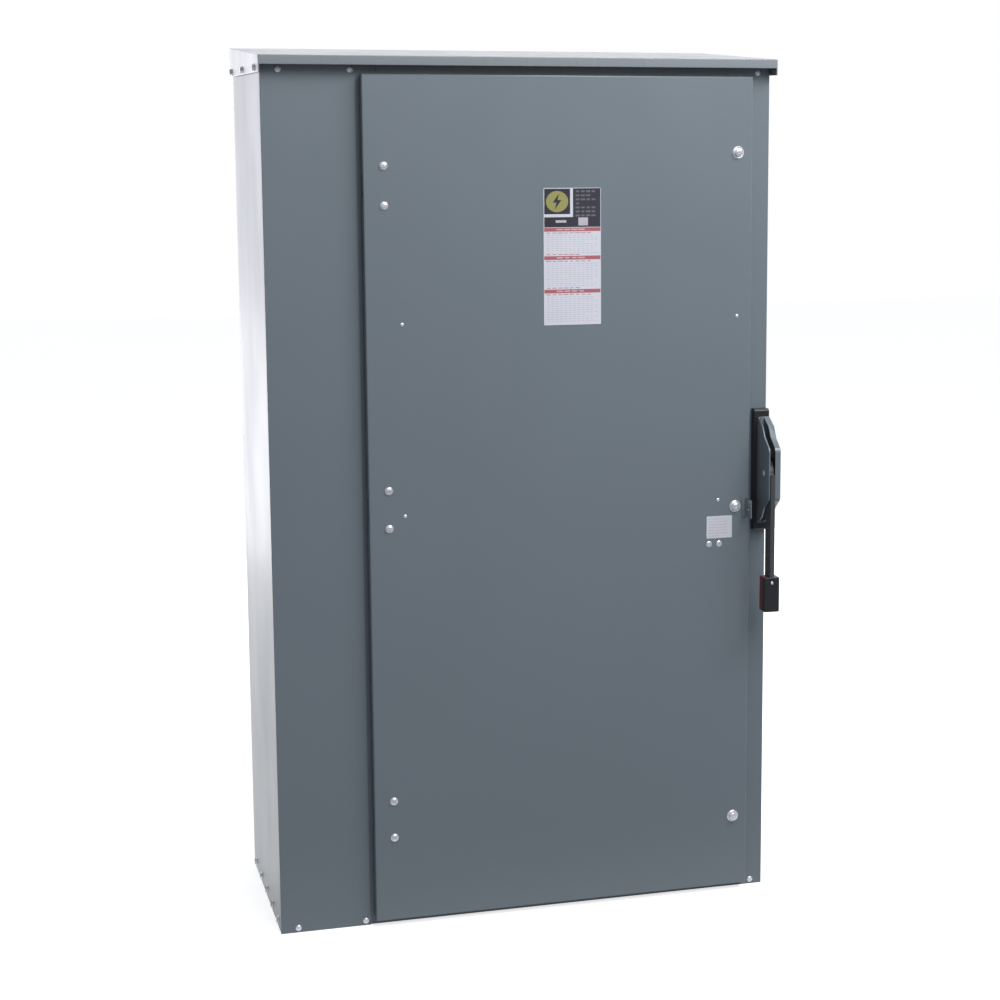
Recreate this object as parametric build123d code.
from build123d import *
import os
from math import cos, radians, sin

# Heavy-duty fusible safety switch (AC disconnect) in a rainproof steel wall enclosure.
# Millimetres. +Z is up, the wall is the plane Y = 0, and the door faces -Y.
# The origin is the centre of the four wall bolts.

# Enclosure
box_width = 1040
box_height = 1744
box_depth = 440            # wall to the face of the door frame
sheet = 3                  # painted sheet steel
flange_lip = 20            # how far an edge of the door opening is folded in
side_flange = 30           # left wall's front flange, under the gutter trim
wall_bolt_inset_x = 139    # from the side walls' outer faces
wall_bolt_inset_z = 110    # from the top and bottom of the box
wall_bolt_hole = 14

# Wiring gutter and door frame
gutter_width = 184
door_gap = 8               # between the gutter trim and the door
frame_screw_inset = 10     # rows of trim screws, from the top and bottom edges
post_width = 70
post_depth = 60
post_under_trim = 30
header_height = 50
sill_height = 45
right_flange = 95
right_flange_seen = 45     # the part of it that the door leaves uncovered

# Rain cap
cap_overhang = 6
cap_front_overhang = 32
cap_lip = 18
cap_side_lip = 32
cap_rise = 28              # from the front lip up to the wall
cap_clearance = 14         # between the roof of the box and the inside of the cap

# Door
door_proud = 26            # face of the door, in front of the frame
door_seat = 1              # rear edge of the pan to the frame
door_below_roof = 19
door_above_base = 14
door_bend_radius = 3
hinge_inset = 214          # outer hinges, from the door's top and bottom edges
hinge_screw_spacing = 77
hinge_screw_inset = 40     # from the door's left edge
knuckle_radius = 5.5
knuckle_length = 36
hinge_pin_radius = 2.5
leaf_thickness = 3
leaf_height = 104
running_clearance = 0.06   # radial, pins and shafts in their bores
swing_clearance = 1.0      # between parts that pass each other

# Door seal and stiffening
gasket_width = 11
gasket_thickness = 6.5
gasket_inset_hinge = 12
gasket_inset_latch = 38
gasket_inset_end = 17
crossbrace_spacing = 580
crossbrace_width = 60

# Captive latch bolts and the interlock release screw
latch_inset = 31           # from the door's right edge
latch_end_inset = 152      # outer bolts, from the door's top and bottom edges
latch_middle_height = -32
bolt_radius = 5
bolt_head_radius = 8.5
bolt_head_height = 6
bolt_washer_radius = 12.5
bolt_washer_thickness = 2
bolt_reach = 12            # tip of the bolt, behind the frame's face
release_inset = 69         # from the door's right edge
release_rise = 15          # above the middle bolt
release_shank = 2.5
hasp_hole_radius = 5.5

# Labels and small heads on the door
nameplate_size = (119, 274)
nameplate_inset = 361      # from the door's left edge
nameplate_drop = 221       # from the door's top edge
rating_label_size = (56, 47)
rating_label_inset = 38    # from the door's right edge
rating_label_drop = 19     # below the middle bolt
label_thickness = 0.6
rivet_inset = 72           # small rivets, from the door's left edge
rivet_drop = 486           # upper pair, from the door's top edge
rivet_radius = 4
label_stud_radius = 6.5

# Operating handle, on the right flange beside the door
handle_height = 41         # pivot of the handle and of the crossbar
handle_pivot_proud = 60
handle_base_height = 257
handle_base_rise = 129     # from the pivot to the top of the base
handle_base_width = 32
handle_base_depth = 20
handle_base_wall = 4
housing_width = 26
housing_wall = 2.5
lever_thickness = 10
lever_depth = 31
lever_offset = 20          # the bar hangs in front of the pivot
lever_length = 284
hub_radius = 27
handle_shaft_radius = 5
grip_size = (33, 34, 74)
crank_radius = 20
crank_pin_radius = 4

# Drive to the contacts
link_thickness = 5
link_height = 14
arm_swing = 71             # crossbar travel from OFF to ON, degrees
lost_motion = 4.5          # play of the crossbar pin in the link's window
arm_thickness = 6
arm_pin_radius = 5

# Switch
pole_count = 3
pole_pitch = 200
base_thickness = 20
base_standoff = 37
crossbar_proud = 130       # crossbar axis in front of the moulded base
crossbar_radius = 16
blade_thickness = 10
blade_width = 46
blade_length = 190
contact_clearance = 0.5
copper_width = 50
copper_thickness = 12
clip_thickness = 8
jaw_height = 50
jaw_overlap = 8            # of the jaws, past the tip of the closed blade
line_pad_height = 210
fuse_radius = 35
fuse_length = 180
fuse_blade = 8
fuse_below_pivot = 151      # from the crossbar's axis down to the fuse's upper pad
fuse_pad_height = 60
fuse_pad_depth = 66
fuse_end_gap = 10          # between the fuse tube and each pad's edge
lug_size = (50, 46, 60)

# Planes and edges that follow from the sizes
left = -box_width / 2
right = box_width / 2
bottom = -box_height / 2
top = box_height / 2
front = -box_depth
trim_front = front - sheet
trim_right = left + gutter_width
post_left = trim_right - post_under_trim
post_right = post_left + post_width
opening_right = right - right_flange
opening_top = top - header_height
opening_bottom = bottom + sill_height
door_left = trim_right + door_gap
door_right = right - right_flange_seen
door_bottom = bottom + door_above_base
door_top = top - door_below_roof
door_middle = (door_top + door_bottom) / 2
door_front = front - door_proud
door_inside = door_front + sheet
door_back = front - door_seat
hinge_x = door_left + sheet + swing_clearance + knuckle_radius
hinge_y = door_inside + leaf_thickness + 0.5 + knuckle_radius
hinge_relief = hinge_y + 8          # rear edge of the pan on the hinge side
latch_x = door_right - latch_inset
hinge_heights = (door_top - hinge_inset, door_middle, door_bottom + hinge_inset)
latch_heights = (door_top - latch_end_inset, latch_middle_height, door_bottom + latch_end_inset)
base_front = -sheet - base_standoff - base_thickness
pivot_y = front - handle_pivot_proud
handle_back = front - handle_base_depth
housing_left = right - housing_width
lever_left = housing_left + housing_wall + contact_clearance
lever_right = lever_left + lever_thickness
link_left = lever_right + 1.5
link_right = link_left + link_thickness
crossbar_y = base_front - crossbar_proud
arm_radius = crank_radius / sin(radians(arm_swing / 2))
arm_pin_y = crossbar_y + arm_radius * cos(radians(arm_swing / 2))
crank_pin_z = handle_height + crank_radius
pole_centre = (post_right + opening_right) / 2
poles = [pole_centre + pole_pitch * (number - (pole_count - 1) / 2) for number in range(pole_count)]
bearing_places = (poles[0] - 100, poles[-1] + 110)
fuse_pad_front = base_front - fuse_pad_depth
fuse_top = handle_height - fuse_below_pivot
fuse_bottom = fuse_top - fuse_length - 2 * fuse_end_gap
jaw_low = handle_height + blade_length - jaw_height + jaw_overlap


def block(x, y, z):
    """Rectangular solid between two values on each axis."""
    middle = ((x[0] + x[1]) / 2, (y[0] + y[1]) / 2, (z[0] + z[1]) / 2)
    return Pos(*middle) * Box(abs(x[1] - x[0]), abs(y[1] - y[0]), abs(z[1] - z[0]))


def around(middle, width):
    """The two ends of a length centred on a value."""
    return (middle - width / 2, middle + width / 2)


def rod_x(x, y, z, radius):
    """Round bar along X between the two values of x."""
    return Pos((x[0] + x[1]) / 2, y, z) * Rot(0, 90, 0) * Cylinder(radius, abs(x[1] - x[0]))


def rod_y(x, y, z, radius):
    """Round bar along Y between the two values of y."""
    return Pos(x, (y[0] + y[1]) / 2, z) * Rot(90, 0, 0) * Cylinder(radius, abs(y[1] - y[0]))


def rod_z(x, y, z, radius):
    """Round bar along Z between the two values of z."""
    return Pos(x, y, (z[0] + z[1]) / 2) * Cylinder(radius, abs(z[1] - z[0]))


def plate_yz(outline, x):
    """Plate with an outline of (y, z) points, between two values of x."""
    face = make_face(Polyline(*[(0, y, z) for y, z in outline], close=True))
    return Pos(x[0], 0, 0) * extrude(face, x[1] - x[0], dir=(1, 0, 0))


def face_screw(x, z, seat, head_radius, head_height, shank_radius, shank_length):
    """Screw driven along +Y with a domed head on the surface at y = seat."""
    head = rod_y(x, (seat - head_height, seat), z, head_radius)
    head = fillet(head.edges().sort_by(Axis.Y)[0], head_height * 0.6)
    return head + rod_y(x, (seat, seat + shank_length), z, shank_radius)


def side_screw(side, y, z, seat, shank_length):
    """Screw driven into a side wall, with its hexagon head on the surface at x = side * seat."""
    outward = Pos(side * seat, y, z) * Rot(0, 90 * side, 0)
    hexagon = outward * extrude(RegularPolygon(wall_screw_head, 6), 5)
    return hexagon + rod_x((side * (seat - shank_length), side * seat), y, z, wall_screw_shank)


# Fastener rows that more than one piece takes its holes from
trim_screw_z = (bottom + frame_screw_inset, top - frame_screw_inset)
trim_screw_x = (left + 35, post_left + 20)
flange_screw_x = right - 26
frame_screw_shank = 3
cap_screw_y = (front + 25, front / 2, -30)
cap_screw_z = top - 7
base_screw_y = [front + 40 + 90 * number for number in range(5)]
base_screw_z = bottom + 16
wall_screw_shank = 3
wall_screw_head = 6.5
hinge_screw_x = door_left + hinge_screw_inset
hinge_screw_shank = 3.2
release_place = (door_right - release_inset, latch_middle_height + release_rise)
label_left = door_right - rating_label_inset - rating_label_size[0]
label_bottom = latch_middle_height - rating_label_drop - rating_label_size[1]
rivet_places = (
    (door_left + rivet_inset, door_top - rivet_drop, rivet_radius),
    (latch_x, door_top - rivet_drop, rivet_radius),
    (door_left + rivet_inset, latch_middle_height + release_rise, rivet_radius),
    (label_left + 6, label_bottom - 12, label_stud_radius),
    (label_left + 28, label_bottom - 12, label_stud_radius),
)
rivet_shank = 2
drilled_clearance = 0.3
link_slot_z = around(handle_height, 2 * crank_radius + link_height + 2 * swing_clearance + 4)
link_slot_x = (link_left - swing_clearance, link_right + swing_clearance)


def wall_screw_holes(side):
    """Holes in a side wall for the cap's and the base's screws."""
    reach = (side * (box_width / 2 - 3 * sheet), side * (box_width / 2 + 1))
    radius = wall_screw_shank + drilled_clearance
    holes = [rod_x(reach, y, cap_screw_z, radius) for y in cap_screw_y]
    holes += [rod_x(reach, y, base_screw_z, radius) for y in base_screw_y]
    return holes


def back_panel():
    plate = block((left + sheet, right - sheet), (-sheet, 0), (bottom, top))
    for x in around(0, box_width - 2 * wall_bolt_inset_x):
        for z in around(0, box_height - 2 * wall_bolt_inset_z):
            plate -= rod_y(x, (-sheet - 1, 1), z, wall_bolt_hole / 2)
    return plate


def left_side_wall():
    wall = block((left, left + sheet), (front, 0), (bottom, top))
    wall += block((left, left + side_flange), (front, front + sheet), (bottom, top))
    wall -= wall_screw_holes(-1)
    return wall - frame_screw_holes(trim_screw_x[:1])


def frame_screw_holes(columns):
    """Holes through a frame member's face for the screws in the given columns."""
    radius = frame_screw_shank + drilled_clearance
    reach = (trim_front - 1, front + sheet + 1)
    return [rod_y(x, reach, z, radius) for x in columns for z in trim_screw_z]


def right_side_wall():
    wall = block((right - sheet, right), (front, 0), (bottom, top))
    wall += block((opening_right, right), (front, front + sheet), (bottom, top))
    lip_x = (opening_right, opening_right + sheet)
    wall += block(lip_x, (front, front + flange_lip), (opening_bottom, opening_top))
    wall -= wall_screw_holes(1)
    wall -= frame_screw_holes((flange_screw_x,))
    for z in latch_heights:
        wall -= rod_y(latch_x, (front - 1, front + sheet + 1), z, bolt_radius + swing_clearance)
    return wall - block(link_slot_x, (front - 1, front + sheet + 1), link_slot_z)


def top_panel():
    return block((left + sheet, right - sheet), (front + sheet, -sheet), (top - sheet, top))


def bottom_panel():
    """Removable end wall: a floor plate with upturned flanges and two conduit knockouts."""
    inner_left = left + sheet
    inner_right = right - sheet
    depth = (front + sheet, -sheet)
    plate = block((inner_left, inner_right), depth, (bottom, bottom + sheet))
    plate += block((inner_left, inner_left + sheet), depth, (bottom, bottom + 32))
    plate += block((inner_right - sheet, inner_right), depth, (bottom, bottom + 32))
    for side in (-1, 1):
        reach = (side * (box_width / 2 - 4 * sheet), side * box_width / 2)
        for y in base_screw_y:
            plate -= rod_x(reach, y, base_screw_z, wall_screw_shank + drilled_clearance)
    for x in (left / 2, right / 2):
        groove = rod_z(x, front / 2, (bottom - 1, bottom + 1), 46)
        groove -= rod_z(x, front / 2, (bottom - 1, bottom + 1), 44)
        plate -= groove
    return plate


def rain_cap():
    """Folded roof that slopes to the front, with lips over the front and the two sides."""
    outer_x = box_width / 2 + cap_overhang
    lip_front = front - cap_front_overhang
    lip_bottom = top - 2
    crown_front = lip_bottom + cap_lip
    crown_rear = crown_front + cap_rise
    outline = [(lip_front, lip_bottom), (lip_front, crown_front), (0, crown_rear), (0, lip_bottom)]
    cap = plate_yz(outline, (-outer_x, outer_x))
    under = [(lip_front + sheet, lip_bottom), (lip_front + sheet, crown_front - sheet),
             (-sheet, crown_rear - sheet), (-sheet, lip_bottom)]
    cap -= plate_yz(under, (sheet - outer_x, outer_x - sheet))
    cap -= block((sheet - outer_x, outer_x - sheet), (-sheet - 1, 1), (lip_bottom - 1, top))
    for side in (-1, 1):
        across = (side * (outer_x - sheet), side * outer_x)
        lip = block(across, (lip_front, 0), (crown_front - cap_side_lip, lip_bottom))
        cap += lip
        for y in cap_screw_y:
            reach = (side * (outer_x - sheet - 1), side * (outer_x + 1))
            cap -= rod_x(reach, y, cap_screw_z, wall_screw_shank + drilled_clearance)
    return cap


def cap_screws():
    outer_x = box_width / 2 + cap_overhang
    rows = [(side, y) for side in (-1, 1) for y in cap_screw_y]
    return Compound([side_screw(side, y, cap_screw_z, outer_x, 14) for side, y in rows])


def bottom_panel_screws():
    rows = [(side, y) for side in (-1, 1) for y in base_screw_y]
    return Compound([side_screw(side, y, base_screw_z, box_width / 2, 12) for side, y in rows])


def gutter_trim():
    """Cover plate of the wiring gutter, screwed on the frame at its four corners."""
    plate = block((left, trim_right), (trim_front, front), (bottom, top))
    return plate - frame_screw_holes(trim_screw_x)


def frame_screws():
    places = [(x, trim_front, 14) for x in trim_screw_x] + [(flange_screw_x, front, 11)]
    screws = []
    for x, seat, length in places:
        for z in trim_screw_z:
            screws.append(face_screw(x, z, seat, 6.5, 3.5, frame_screw_shank, length))
    return Compound(screws)


def hinge_post():
    """Channel between the gutter and the switch compartment that carries the door hinges."""
    inside = (bottom + sheet, top - sheet)
    depth = (front + sheet, front + post_depth)
    post = block((post_left, post_right), (front, front + sheet), (bottom, top))
    post += block((post_left, post_left + sheet), depth, inside)
    post += block((post_right - sheet, post_right), depth, inside)
    return post - frame_screw_holes(trim_screw_x[1:])


def door_header_rail():
    x = (post_right, opening_right)
    rail = block(x, (front, front + sheet), (opening_top, top))
    return rail + block(x, (front, front + flange_lip), (opening_top, opening_top + sheet))


def door_sill_rail():
    x = (post_right, opening_right)
    rail = block(x, (front, front + sheet), (bottom, opening_bottom))
    return rail + block(x, (front, front + flange_lip), (opening_bottom - sheet, opening_bottom))


def hinge_frame_leaves():
    """Three weld-on leaves that stand on the hinge post, each with one knuckle."""
    leaves = []
    for z in hinge_heights:
        span = around(z, knuckle_length)
        leaf = block(around(hinge_x, leaf_thickness), (hinge_y, front), span)
        leaf += rod_z(hinge_x, hinge_y, span, knuckle_radius)
        leaves.append(leaf - rod_z(hinge_x, hinge_y, around(z, knuckle_length + 2), hinge_pin_radius))
    return Compound(leaves)


def hinge_pins():
    length = 2.5 * knuckle_length
    return Compound([rod_z(hinge_x, hinge_y, around(z, length), hinge_pin_radius) for z in hinge_heights])


def hinge_door_leaves():
    """Three leaves behind the door face, each with two knuckles that turn on the pin."""
    leaves = []
    leaf_front = door_inside
    reach = (hinge_x - 3, hinge_screw_x + 14)
    for z in hinge_heights:
        leaf = block(reach, (leaf_front, leaf_front + leaf_thickness), around(z, leaf_height))
        for side in (-1, 1):
            inner = z + side * (knuckle_length / 2 + 0.5)
            outer = inner + side * (0.75 * knuckle_length - 0.5)
            leaf += rod_z(hinge_x, hinge_y, (inner, outer), knuckle_radius)
            leaf += block(around(hinge_x, 6), (leaf_front, hinge_y), (inner, outer))
            leaf -= rod_y(hinge_screw_x, (leaf_front - 1, leaf_front + leaf_thickness + 1),
                          z + side * hinge_screw_spacing / 2, hinge_screw_shank + drilled_clearance)
        leaf -= rod_z(hinge_x, hinge_y, around(z, leaf_height), hinge_pin_radius + running_clearance)
        leaves.append(leaf)
    return Compound(leaves)


def door_panel():
    """Folded steel pan with rounded front edges and holes for everything that passes through it."""
    pan = block((door_left, door_right), (door_front, door_back), (door_bottom, door_top))
    front_edges = pan.faces().sort_by(Axis.Y)[0].edges()
    pan = fillet(front_edges, door_bend_radius)
    inside_x = (door_left + sheet, door_right - sheet)
    pan -= block(inside_x, (door_inside, front), (door_bottom + sheet, door_top - sheet))
    pan -= block((door_left - 1, hinge_x + 3), (hinge_relief, front), (door_bottom - 1, door_top + 1))
    drilled = (door_front - 1, door_inside + 1)
    for z in hinge_heights:
        pan -= block((door_left - 1, door_left + sheet), (hinge_y - 5, front), around(z, knuckle_length + 8))
        for screw_z in around(z, hinge_screw_spacing):
            pan -= rod_y(hinge_screw_x, drilled, screw_z, hinge_screw_shank + drilled_clearance)
    for z in latch_heights:
        pan -= rod_y(latch_x, drilled, z, bolt_radius + swing_clearance)
    for x, z, _ in rivet_places:
        pan -= rod_y(x, drilled, z, rivet_shank + drilled_clearance)
    return pan - rod_y(release_place[0], drilled, release_place[1], release_shank + drilled_clearance)


def seal_ring(y):
    """Rectangular ring that follows the door opening, between two values of y."""
    x = (door_left + gasket_inset_hinge, door_right - gasket_inset_latch)
    z = (door_bottom + gasket_inset_end, door_top - gasket_inset_end)
    inner_x = (x[0] + gasket_width, x[1] - gasket_width)
    inner_z = (z[0] + gasket_width, z[1] - gasket_width)
    return block(x, y, z) - block(inner_x, (y[0] - 1, y[1] + 1), inner_z)


def door_stiffener():
    """Perimeter channel that backs the gasket, with two cross braces, spot-welded in the pan."""
    rear = door_back + 0.5 - gasket_thickness
    ring = seal_ring((door_inside, rear))
    inner_x = (door_left + gasket_inset_hinge + gasket_width, door_right - gasket_inset_latch - gasket_width)
    for z in around(door_middle, crossbrace_spacing):
        brace = block(inner_x, (door_inside, rear - 3), around(z, crossbrace_width))
        brace -= block(inner_x, (door_inside, rear - 5), around(z, crossbrace_width - 4))
        ring += brace
    for z in hinge_heights:
        ring -= block((door_left, hinge_screw_x + 15), (door_inside, rear + 1), around(z, leaf_height + 4))
    for x, z, _ in rivet_places:
        ring -= rod_y(x, (door_inside, rear), z, rivet_shank + 2)
    return ring


def door_gasket():
    rear = door_back + 0.5
    return seal_ring((rear - gasket_thickness, rear))


def hinge_screws():
    screws = []
    for hinge in hinge_heights:
        for z in around(hinge, hinge_screw_spacing):
            screws.append(face_screw(hinge_screw_x, z, door_front, 8.5, 4, hinge_screw_shank, 10))
    return Compound(screws)


def nameplate():
    low = (door_left + nameplate_inset, door_top - nameplate_drop - nameplate_size[1])
    return block((low[0], low[0] + nameplate_size[0]), (door_front - label_thickness, door_front),
                 (low[1], low[1] + nameplate_size[1]))


def rating_label():
    return block((label_left, label_left + rating_label_size[0]), (door_front - label_thickness, door_front),
                 (label_bottom, label_bottom + rating_label_size[1]))


def door_rivets():
    heads = [face_screw(x, z, door_front, radius, 2, rivet_shank, 6) for x, z, radius in rivet_places]
    return Compound(heads)


def door_hasp_ear():
    """Bracket on the door's face whose upright ear takes the shackle of a padlock."""
    ear_right = door_right - 6
    height = (latch_heights[1] - 22, latch_heights[1] + 16)
    ear = block((ear_right - sheet, ear_right), (door_front - 34, door_front), height)
    ear += block((latch_x + bolt_washer_radius + 1.5, ear_right), (door_front - 2.5, door_front), height)
    reach = (ear_right - sheet - 1, ear_right + 1)
    return ear - rod_x(reach, door_front - 21, latch_middle_height - 4, hasp_hole_radius)


def latch_bolt(z):
    """Captive bolt: domed head on a cup washer, with a retaining ring behind the door face."""
    washer = rod_y(latch_x, (door_front - bolt_washer_thickness, door_front), z, bolt_washer_radius)
    washer = chamfer(washer.edges().sort_by(Axis.Y)[0], 1)
    seat = door_front - bolt_washer_thickness
    head = rod_y(latch_x, (seat - bolt_head_height, seat), z, bolt_head_radius)
    head = fillet(head.edges().sort_by(Axis.Y)[0], 3)
    head -= block(around(latch_x, 2), (seat - bolt_head_height, seat - bolt_head_height + 2), around(z, 20))
    shank = rod_y(latch_x, (door_front, front + bolt_reach), z, bolt_radius)
    ring = rod_y(latch_x, (front - 10, front - 8), z, bolt_radius + 1.5)
    return washer + head + shank + ring


def latch_nuts():
    """Three clip nuts behind the right flange that the captive bolts reach."""
    nuts = []
    for z in latch_heights:
        nut = block(around(latch_x + 2, 22), (front + sheet, front + sheet + 10), around(z, 24))
        nuts.append(nut - rod_y(latch_x, (front, front + sheet + 11), z, bolt_radius + swing_clearance))
    return Compound(nuts)


def interlock_release():
    x, z = release_place
    screw = face_screw(x, z, door_front, 4, 2, release_shank, 8)
    return screw - block(around(x, 1.2), (door_front - 2, door_front - 1), around(z, 10))


def handle_base():
    """Moulded bearing block between the flange and the handle housing, with its own hasp ear."""
    z = (handle_height + handle_base_rise - handle_base_height, handle_height + handle_base_rise)
    base = block((right - handle_base_width, right), (handle_back, front), z)
    base = fillet(base.edges().filter_by(Axis.X).group_by(Axis.Y)[0], 6)
    hollow_x = (right - handle_base_width + handle_base_wall, right - handle_base_wall)
    hollow_z = (z[0] + handle_base_wall, z[1] - handle_base_wall)
    base -= block(hollow_x, (handle_back + handle_base_wall, front + 1), hollow_z)
    base -= block(link_slot_x, (handle_back - 1, front + 1), link_slot_z)
    return base


def handle_housing():
    """D-shaped drawn housing with a slot round its rim in which the lever swings."""
    half = 108
    flat = 53
    outline = [(handle_back, -half - 5), (handle_back - 30, -half + 12), (handle_back - 42, -half + 32),
               (handle_back - 72, -flat), (handle_back - 72, flat), (handle_back - 42, half - 32),
               (handle_back - 30, half - 12), (handle_back, half + 5)]
    outline = [(y, z + handle_height) for y, z in outline]
    outer = plate_yz(outline, (housing_left, right))
    outer = fillet(outer.edges().filter_by(Axis.X).group_by(Axis.Y)[0], 14)
    right_face = outer.faces().sort_by(Axis.X)[-1]
    outer = fillet(right_face.edges().sort_by(Axis.Y)[:5], 2)
    inner_outline = [(y + (housing_wall if y < handle_back else -housing_wall),
                      z + (housing_wall if z < handle_height else -housing_wall)) for y, z in outline]
    hollow = plate_yz(inner_outline, (housing_left + housing_wall, right - housing_wall))
    slot_x = (housing_left + housing_wall, lever_right + 0.8)
    slot_y = (handle_back - 100, handle_back - housing_wall)
    slot = block(slot_x, slot_y, around(handle_height, 3 * half))
    housing = outer - hollow - slot
    housing -= block(link_slot_x, (handle_back - housing_wall - 1, handle_back + 1), link_slot_z)
    bore_radius = handle_shaft_radius + running_clearance
    bore = rod_x((housing_left - 1, right + 1), pivot_y, handle_height, bore_radius)
    return housing - bore


def handle_lever():
    """Steel bar with its hub disc, the shaft it turns on and the crank pin of the drive link."""
    x = (lever_left, lever_right)
    bar_y = around(pivot_y - lever_offset, lever_depth)
    lever = block(x, bar_y, (handle_height - lever_length, handle_height))
    lever += rod_x(x, pivot_y, handle_height, hub_radius)
    lever += rod_x((housing_left, right), pivot_y, handle_height, handle_shaft_radius)
    lever += rod_x((lever_right, link_right + 1), pivot_y, crank_pin_z, crank_pin_radius)
    return lever


def grip_half(y):
    """Half of the moulded grip, which closes round the bar, between two values of y."""
    low = handle_height - lever_length - 5
    x = around((lever_left + lever_right) / 2, grip_size[0])
    half = block(x, y, (low, low + grip_size[2]))
    bar_y = around(pivot_y - lever_offset, lever_depth)
    return half - block((lever_left, lever_right), bar_y, (low + 5, low + grip_size[2] + 1))


def handle_grip_front():
    middle = pivot_y - lever_offset
    return grip_half((middle - grip_size[1] / 2, middle))


def handle_grip_rear():
    middle = pivot_y - lever_offset
    return grip_half((middle, middle + grip_size[1] / 2))


def drive_link():
    """Flat link from the crank pin to a window in which the crossbar's pin has lost motion."""
    x = (link_left, link_right)
    link = rod_x(x, pivot_y, crank_pin_z, link_height / 2)
    link += block(x, (pivot_y, arm_pin_y), around(crank_pin_z, link_height))
    travel = crank_radius - arm_radius * (1 - cos(radians(arm_swing / 2)))
    room = arm_pin_radius + swing_clearance
    window_y = (arm_pin_y - travel - room, arm_pin_y + room)
    window_half = arm_pin_radius + lost_motion
    head = block(x, (window_y[0] - 6, window_y[1] + 6), around(crank_pin_z, 2 * (window_half + 5)))
    link += head
    link -= block(x, window_y, around(crank_pin_z, 2 * window_half))
    return link - rod_x((x[0] - 1, x[1] + 1), pivot_y, crank_pin_z, crank_pin_radius + running_clearance)


def crossbar():
    """Insulated shaft across the poles, with the drive arm and its pin at the right end."""
    arm_x = (link_left - 1 - arm_thickness, link_left - 1)
    bar = rod_x((bearing_places[0] - 20, arm_x[1]), crossbar_y, handle_height, crossbar_radius)
    arm = block(arm_x, (crossbar_y, crossbar_y + arm_radius), around(handle_height, 2 * arm_pin_radius + 6))
    arm += rod_x(arm_x, crossbar_y + arm_radius, handle_height, arm_pin_radius + 3)
    arm += rod_x((arm_x[0], link_right + 1), crossbar_y + arm_radius, handle_height, arm_pin_radius)
    arm = arm.rotate(Axis((0, crossbar_y, handle_height), (1, 0, 0)), arm_swing / 2)
    return bar + arm


def crossbar_bearings():
    """Two moulded pedestals that carry the crossbar in front of the base."""
    pedestals = []
    for x in bearing_places:
        across = around(x, 22)
        pedestal = block(across, (crossbar_y, base_front), around(handle_height, 70))
        pedestal += rod_x(across, crossbar_y, handle_height, 35)
        bore = rod_x(around(x, 24), crossbar_y, handle_height, crossbar_radius + running_clearance)
        pedestals.append(pedestal - bore)
    return Compound(pedestals)


def blade(x):
    """Copper switch blade, pinned on the crossbar and open at rest."""
    across = around(x, blade_thickness)
    bar = block(across, around(crossbar_y, blade_width), (handle_height, handle_height + blade_length))
    bar = fillet(bar.edges().filter_by(Axis.X).group_by(Axis.Z)[-1], 8)
    bar += rod_x(across, crossbar_y, handle_height, blade_width / 2 + 4)
    bar -= rod_x(around(x, blade_thickness + 2), crossbar_y, handle_height, crossbar_radius)
    return bar.rotate(Axis((0, crossbar_y, handle_height), (1, 0, 0)), arm_swing)


def clip_pair(x, y, z):
    """Two copper cheeks that stand off the base on both sides of a blade."""
    inner = blade_thickness / 2 + contact_clearance
    cheeks = [block((x + side * inner, x + side * (inner + clip_thickness)), y, z) for side in (-1, 1)]
    return cheeks


def line_jaw(x):
    """Line-side jaw with the copper pad that its terminal lug is bolted on."""
    pad_z = (jaw_low, jaw_low + line_pad_height)
    jaw = block(around(x, copper_width), (base_front - copper_thickness, base_front), pad_z)
    return jaw + clip_pair(x, (crossbar_y - blade_width / 2, base_front), (jaw_low, jaw_low + jaw_height))


def hinge_clip(x):
    """Load-side contact: two cheeks that embrace the blade's hub, and the fuse's upper pad."""
    pad_bottom = fuse_top
    clip = block(around(x, copper_width), (base_front - copper_thickness, base_front),
                 (pad_bottom, handle_height + 35))
    pad_z = (pad_bottom, pad_bottom + fuse_pad_height)
    clip += block(around(x, copper_width), (fuse_pad_front, base_front), pad_z)
    clip += clip_pair(x, (crossbar_y - 32, base_front), around(handle_height, 70))
    passage = rod_x(around(x, 2 * copper_width), crossbar_y, handle_height, crossbar_radius + swing_clearance)
    return clip - passage


def fuse(x):
    """Bolt-in cartridge fuse: ribbed tube with a flat blade at each end, bolted on the pads."""
    axis_y = fuse_pad_front - fuse_blade / 2
    middle = (fuse_top + fuse_bottom) / 2
    body = rod_z(x, axis_y, around(middle, fuse_length), fuse_radius)
    for end in around(middle, fuse_length - 24):
        body += rod_z(x, axis_y, around(end, 24), fuse_radius + 2)
    blades = block(around(x, 40), around(axis_y, fuse_blade),
                   (fuse_bottom - fuse_pad_height + 8, fuse_top + fuse_pad_height - 8))
    body += blades
    for z in (fuse_top + fuse_pad_height / 2, fuse_bottom - fuse_pad_height / 2):
        body += rod_y(x, (fuse_pad_front - fuse_blade - 9, fuse_pad_front), z, 10)
    return body


def load_terminals():
    """Three lower fuse pads, each with the tongue that its load lug is bolted on."""
    pads = []
    for x in poles:
        pad_z = (fuse_bottom - fuse_pad_height, fuse_bottom)
        pad = block(around(x, copper_width), (fuse_pad_front, base_front), pad_z)
        pad += block(around(x, copper_width), (base_front - copper_thickness, base_front),
                     (fuse_bottom - fuse_pad_height - lug_size[2] - 30, fuse_bottom))
        pads.append(pad)
    return Compound(pads)


def lug(x, z):
    """Box lug with a vertical wire bore and a set screw."""
    y = (base_front - copper_thickness - lug_size[1], base_front - copper_thickness)
    body = block(around(x, lug_size[0]), y, around(z, lug_size[2]))
    body -= rod_z(x, (y[0] + y[1]) / 2, around(z, lug_size[2] + 2), 14)
    return body + rod_y(x, (y[0] - 10, y[0]), z, 9)


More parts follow.
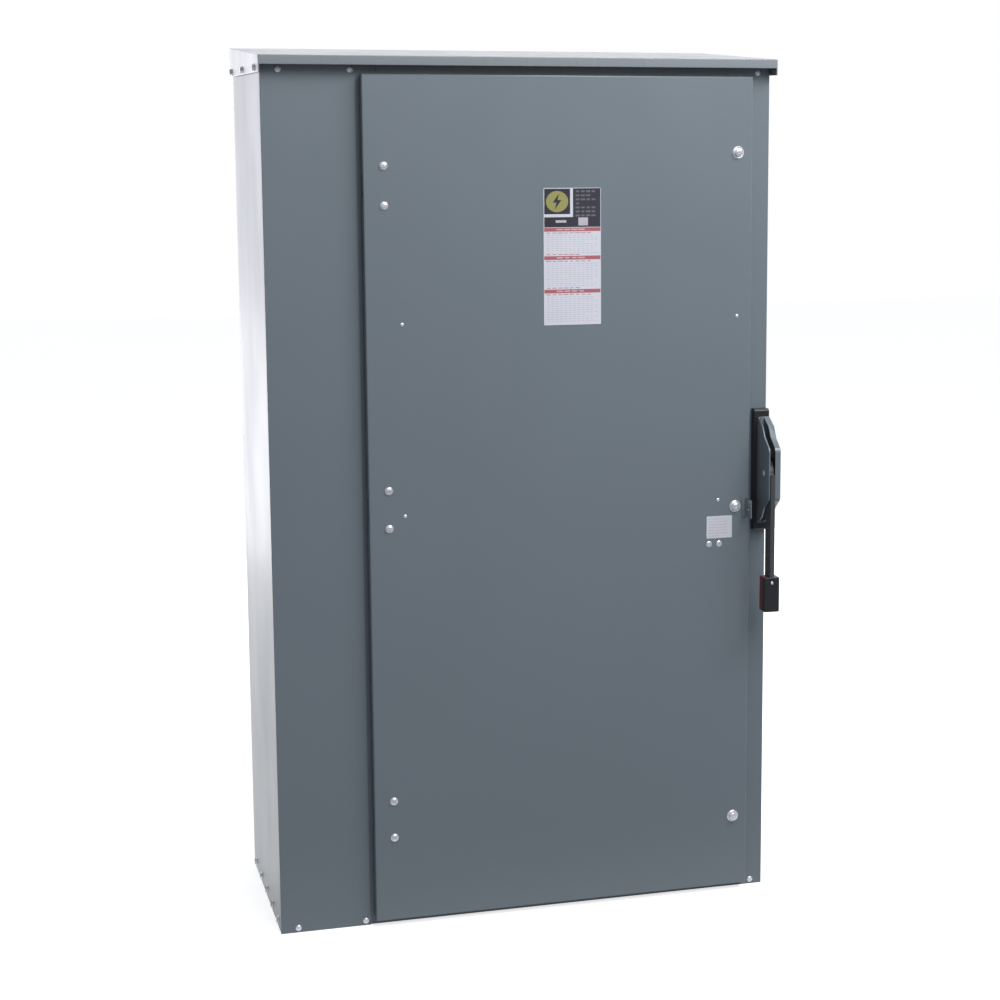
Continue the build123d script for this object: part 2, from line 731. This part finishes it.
def terminal_lugs():
    line_z = jaw_low + line_pad_height - lug_size[2] / 2 - 5
    load_z = fuse_bottom - fuse_pad_height - 15 - lug_size[2] / 2
    return Compound([lug(x, z) for x in poles for z in (line_z, load_z)])


def arc_chute(x):
    """Moulded arc box over the jaw, open below, with steel splitter plates."""
    low = handle_height + blade_length + 24
    width = 84
    y = (crossbar_y - blade_width / 2 - 14, base_front)
    box = block(around(x, width), y, (low, low + 76))
    box -= block(around(x, width - 8), (y[0] + 4, y[1] + 1), (low - 1, low + 72))
    for number in range(5):
        plate_y = y[0] + 22 + 22 * number
        box += block(around(x, width - 6), (plate_y, plate_y + 2.5), (low + 14, low + 73))
    pad_room = (base_front - copper_thickness - 2, base_front + 1)
    return box - block(around(x, copper_width + 4), pad_room, (low - 1, low + 77))


def switch_base():
    """Moulded insulating base that carries the three poles."""
    x = (poles[0] - 125, poles[-1] + 125)
    return block(x, (base_front, base_front + base_thickness), (fuse_bottom - 170, handle_height + 400))


def base_standoffs():
    feet = []
    for x in (poles[0] - 105, poles[-1] + 105):
        for z in (fuse_bottom - 150, handle_height - 60, handle_height + 380):
            feet.append(rod_y(x, (-sheet - base_standoff, -sheet), z, 12))
    return Compound(feet)


def phase_barriers():
    """Insulating sheets between the poles, which the crossbar passes through."""
    sheets = []
    for x in (poles[0] + pole_pitch / 2, poles[-1] - pole_pitch / 2):
        barrier = block(around(x, 3), (crossbar_y - 70, base_front), (fuse_bottom - 150, handle_height + 380))
        passage = rod_x(around(x, 5), crossbar_y, handle_height, crossbar_radius + swing_clearance)
        sheets.append(barrier - passage)
    return Compound(sheets)


def line_shield():
    """Clear guard over the live line terminals, carried by the phase barriers."""
    z = (handle_height + blade_length + 12, handle_height + 378)
    return block((poles[0] - 100, poles[-1] + 100), (crossbar_y - 73, crossbar_y - 70), z)


def ground_bar():
    """Bar on the back panel with a row of wire screws."""
    x = around((post_left + left) / 2, 30)
    bar = block(x, (-sheet - 20, -sheet), (bottom + 272, bottom + 492))
    for number in range(6):
        bar += rod_y((x[0] + x[1]) / 2, (-sheet - 26, -sheet - 20), bottom + 292 + 36 * number, 7)
    return bar


parts = {
    "back_panel": back_panel(),
    "left_side_wall": left_side_wall(),
    "right_side_wall": right_side_wall(),
    "top_panel": top_panel(),
    "bottom_panel": bottom_panel(),
    "bottom_panel_screws": bottom_panel_screws(),
    "rain_cap": rain_cap(),
    "cap_screws": cap_screws(),
    "gutter_trim": gutter_trim(),
    "frame_screws": frame_screws(),
    "hinge_post": hinge_post(),
    "door_header_rail": door_header_rail(),
    "door_sill_rail": door_sill_rail(),
    "hinge_frame_leaves": hinge_frame_leaves(),
    "hinge_pins": hinge_pins(),
    "latch_nuts": latch_nuts(),
    "handle_base": handle_base(),
    "handle_housing": handle_housing(),
    "switch_base": switch_base(),
    "base_standoffs": base_standoffs(),
    "crossbar_bearings": crossbar_bearings(),
    "load_terminals": load_terminals(),
    "terminal_lugs": terminal_lugs(),
    "phase_barriers": phase_barriers(),
    "line_shield": line_shield(),
    "ground_bar": ground_bar(),
    "door_panel": door_panel(),
    "door_stiffener": door_stiffener(),
    "door_gasket": door_gasket(),
    "hinge_door_leaves": hinge_door_leaves(),
    "hinge_screws": hinge_screws(),
    "door_rivets": door_rivets(),
    "door_hasp_ear": door_hasp_ear(),
    "nameplate": nameplate(),
    "rating_label": rating_label(),
    "interlock_release": interlock_release(),
    "handle_lever": handle_lever(),
    "handle_grip_front": handle_grip_front(),
    "handle_grip_rear": handle_grip_rear(),
    "drive_link": drive_link(),
    "crossbar": crossbar(),
}
for name, z in zip(("upper", "middle", "lower"), latch_heights):
    parts["latch_bolt_" + name] = latch_bolt(z)
for number, x in enumerate(poles, 1):
    parts[f"line_jaw_{number}"] = line_jaw(x)
    parts[f"hinge_clip_{number}"] = hinge_clip(x)
    parts[f"arc_chute_{number}"] = arc_chute(x)
    parts[f"fuse_{number}"] = fuse(x)
    parts[f"blade_{number}"] = blade(x)

os.makedirs("parts", exist_ok=True)
for name, shape in parts.items():
    export_step(Compound(shape.solids()), f"parts/{name}.step")
print(len(parts), "nodes")
